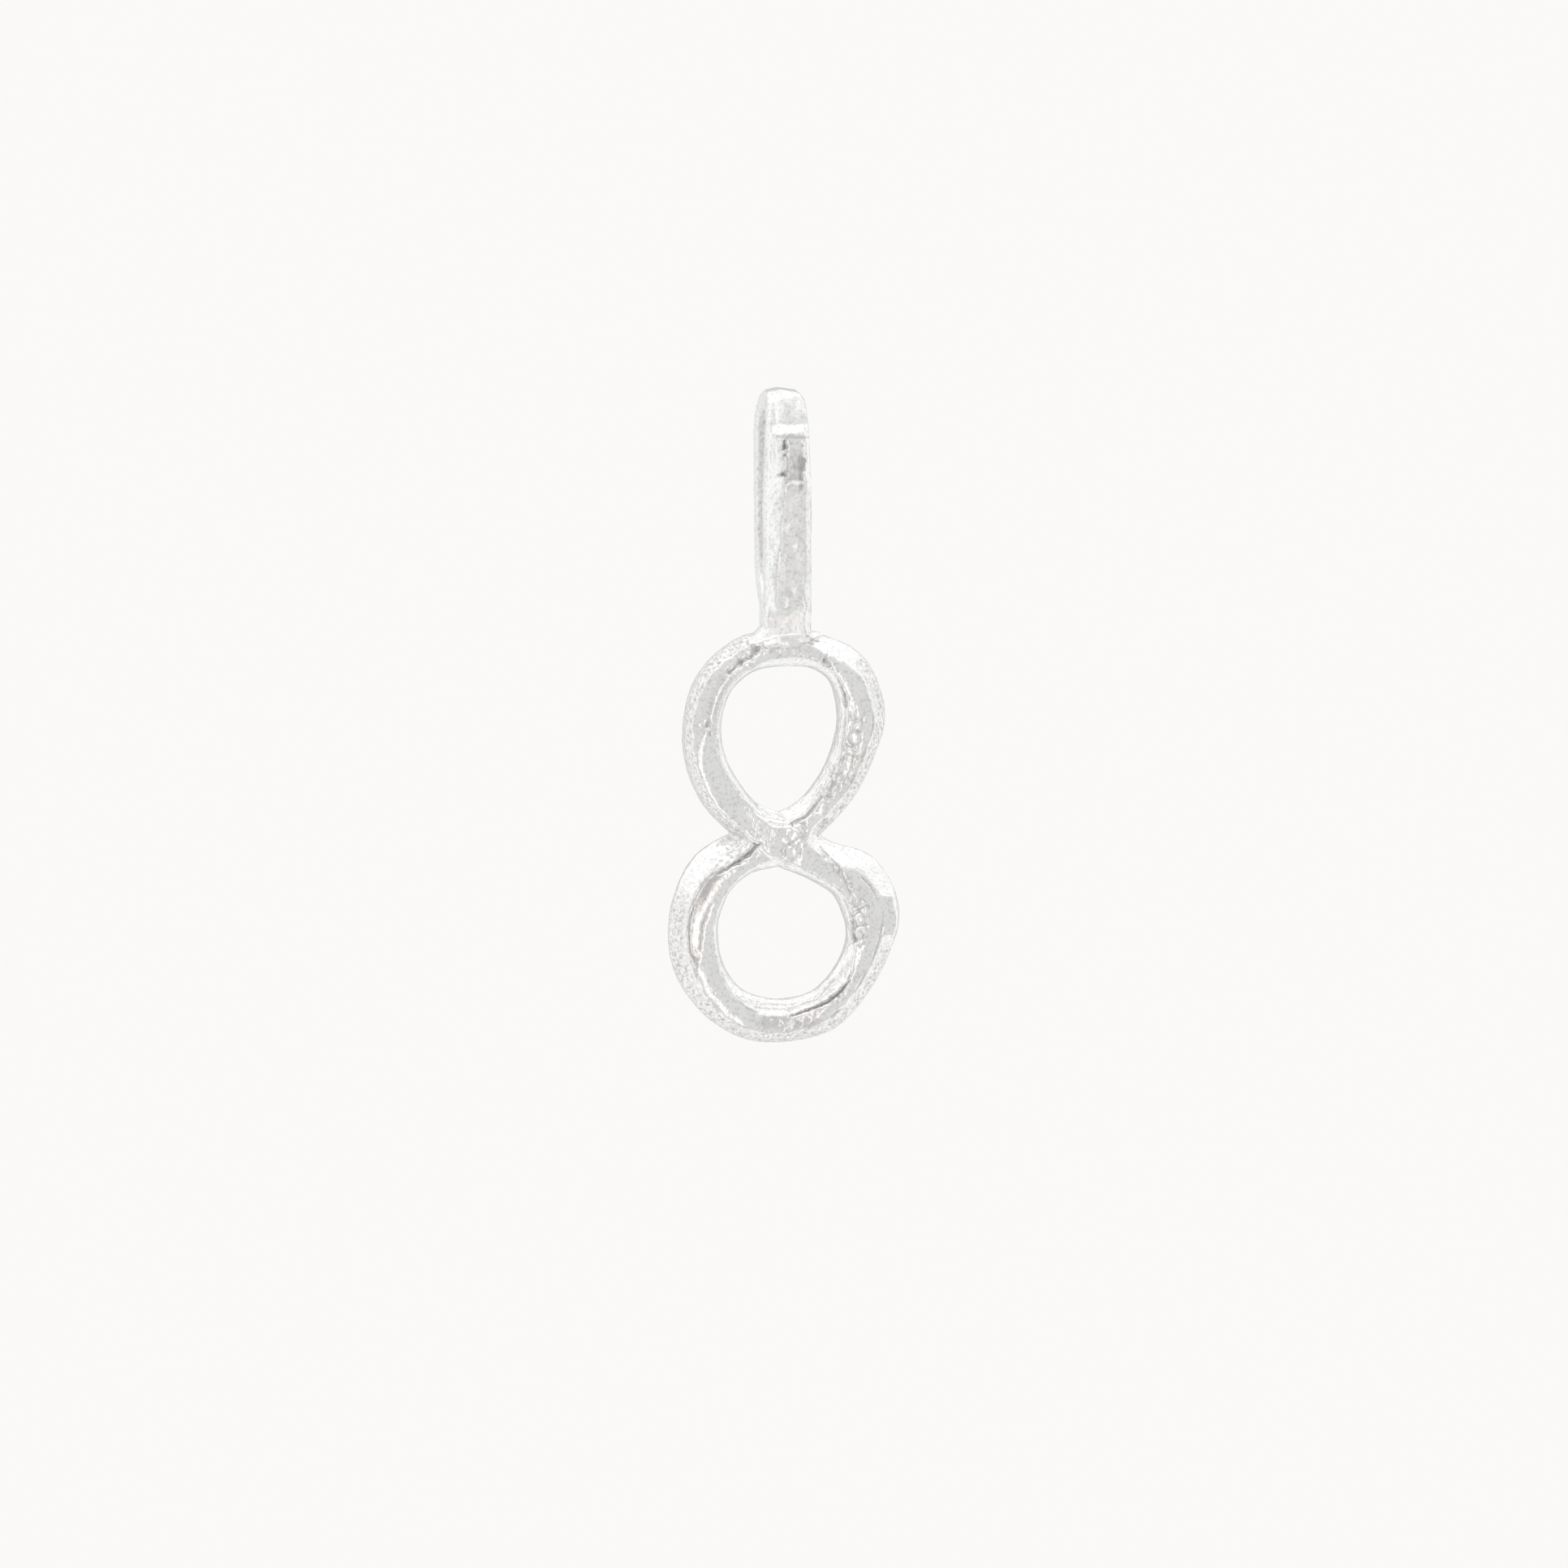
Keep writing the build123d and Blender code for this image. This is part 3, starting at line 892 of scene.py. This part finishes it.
def make_world():
    """Soft studio surroundings: white above and at the sides, grey in front and behind, with a small
    warm lamp in front."""
    world = bpy.data.worlds.new("studio")
    bpy.context.scene.world = world
    world.use_nodes = True
    nodes, links = world.node_tree.nodes, world.node_tree.links
    nodes.clear()
    coords = nodes.new("ShaderNodeTexCoord")

    def lobe(direction, inner, outer, gain):
        """Light added in a soft round patch."""
        dot = nodes.new("ShaderNodeVectorMath")
        dot.operation = "DOT_PRODUCT"
        dot.inputs[1].default_value = Vector(direction).normalized()
        links.new(coords.outputs["Generated"], dot.inputs[0])
        ramp = nodes.new("ShaderNodeMapRange")
        ramp.interpolation_type = "SMOOTHSTEP"
        ramp.inputs["From Min"].default_value = math.cos(math.radians(outer))
        ramp.inputs["From Max"].default_value = math.cos(math.radians(inner))
        ramp.inputs["To Min"].default_value = 0.0
        ramp.inputs["To Max"].default_value = gain
        links.new(dot.outputs["Value"], ramp.inputs["Value"])
        return ramp.outputs["Result"]

    def background(colour, strength=None):
        shader = nodes.new("ShaderNodeBackground")
        shader.inputs["Color"].default_value = colour
        if strength is not None:
            links.new(strength, shader.inputs["Strength"])
        return shader.outputs[0]

    def added(start, patches):
        """The sum of a number and some patches."""
        total = None
        for value in patches:
            add = nodes.new("ShaderNodeMath")
            add.operation = "ADD"
            add.inputs[0].default_value = start
            if total is not None:
                links.new(total, add.inputs[0])
            links.new(value, add.inputs[1])
            total = add.outputs[0]
        return total

    lamp = [lobe(around_mirrored(*place), *rest) for place, *rest in LAMP]
    room = added(BASE_LIGHT, [lobe(*patch) for patch in ROOM])
    both = nodes.new("ShaderNodeAddShader")
    links.new(background((1, 1, 1, 1), room), both.inputs[0])
    links.new(background(LAMP_COLOUR, added(0.0, lamp)), both.inputs[1])
    path = nodes.new("ShaderNodeLightPath")
    mix = nodes.new("ShaderNodeMixShader")
    links.new(path.outputs["Is Camera Ray"], mix.inputs["Fac"])
    links.new(both.outputs[0], mix.inputs[1])
    links.new(background((*PAPER, 1)), mix.inputs[2])
    out = nodes.new("ShaderNodeOutputWorld")
    links.new(mix.outputs[0], out.inputs["Surface"])


FLOOR_HALF, FLOOR_DROP = 0.6, 0.012          # metres


def make_floor():
    """A wide pale sheet well below the charm."""
    half = FLOOR_HALF
    z = figure_low.z * MM - FLOOR_DROP
    mesh = bpy.data.meshes.new("floor")
    corners = [(-half, -half, z), (half, -half, z), (half, half, z), (-half, half, z)]
    mesh.from_pydata(corners, [], [(0, 1, 2, 3)])
    floor = new_object("floor", mesh)
    mat = bpy.data.materials.new("paper")
    mat.use_nodes = True
    nodes, links = mat.node_tree.nodes, mat.node_tree.links
    nodes.clear()
    glow = nodes.new("ShaderNodeEmission")
    glow.inputs["Color"].default_value = (*PAPER, 1)
    out = nodes.new("ShaderNodeOutputMaterial")
    links.new(glow.outputs[0], out.inputs["Surface"])
    mesh.materials.append(mat)
    floor.visible_glossy = False


AIM = Vector((-0.04, MID_Y, -10.8)) * MM
FRAME_HEIGHT = 0.0483          # how much the picture takes in at the charm, in metres
LENS, SENSOR = 120.0, 36.0


def make_camera():
    """A long lens a little to the charm's left and just above level."""
    distance = FRAME_HEIGHT * LENS / SENSOR
    data = bpy.data.cameras.new("camera")
    data.lens, data.sensor_width = LENS, SENSOR
    data.clip_start, data.clip_end = 0.005, 5.0
    camera = bpy.data.objects.new("camera", data)
    bpy.context.scene.collection.objects.link(camera)
    camera.location = AIM + TO_CAMERA * distance
    camera.rotation_euler = TO_CAMERA.to_track_quat("Z", "Y").to_euler()
    bpy.context.scene.camera = camera


# ---------------------------------------------------------------- build

bpy.context.scene.view_settings.view_transform = "Standard"
cast_silver = silver("cast_silver", (0.958, 0.950, 0.946), 0.09)
strap_silver = silver("strap_silver", (0.957, 0.955, 0.950), 0.13)
solder_silver = silver("solder_silver", (0.95, 0.945, 0.935), 0.18)

figure = make_figure()
finish_piece(figure, "figure_eight", cast_silver)
bail = make_bail()
finish_piece(bail, "bail", strap_silver)
solder = make_solder()
finish_piece(solder, "solder_seam", solder_silver)

make_world()
make_floor()
make_camera()
